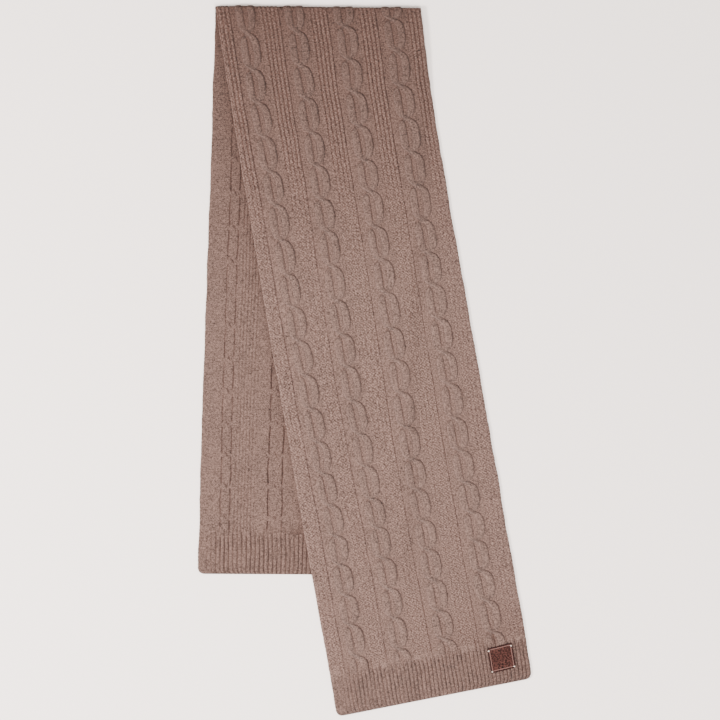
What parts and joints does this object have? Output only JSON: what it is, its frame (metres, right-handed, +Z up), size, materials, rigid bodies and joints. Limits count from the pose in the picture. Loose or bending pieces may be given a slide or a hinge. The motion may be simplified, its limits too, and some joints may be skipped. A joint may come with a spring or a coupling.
{
  "type": "knit scarf",
  "caption": "Long cable-knit scarf with ribbed ends and a small leather patch at one corner, folded over once and laid flat.",
  "frame": {"origin": "middle of the footprint, on the surface that the scarf lies on", "axes": "+X across the scarf to the right as seen from above, +Y towards the fold, +Z up, away from the surface"},
  "size_m": [0.4754, 1.0138, 0.0093],
  "materials": {
    "knit": "soft matt wool knit, dusty taupe, right side with rope cables, moss-stitch bands and a fine halo",
    "knit_wrong_side": "soft matt wool knit, the same yarn seen from its purl side",
    "leather": "reddish-brown grained leather with dark inked edges and a light crease line",
    "stud_metal": "small polished pale-gold studs"
  },
  "bodies": {
    "root": {"front_panel": "knit", "front_rib": "knit", "fold": "knit", "back_panel": "knit_wrong_side", "back_rib": "knit_wrong_side", "leather_patch": "leather", "patch_corner_1": "stud_metal", "patch_corner_2": "stud_metal", "patch_corner_3": "stud_metal", "patch_corner_4": "stud_metal"}
  },
  "joints": []
}
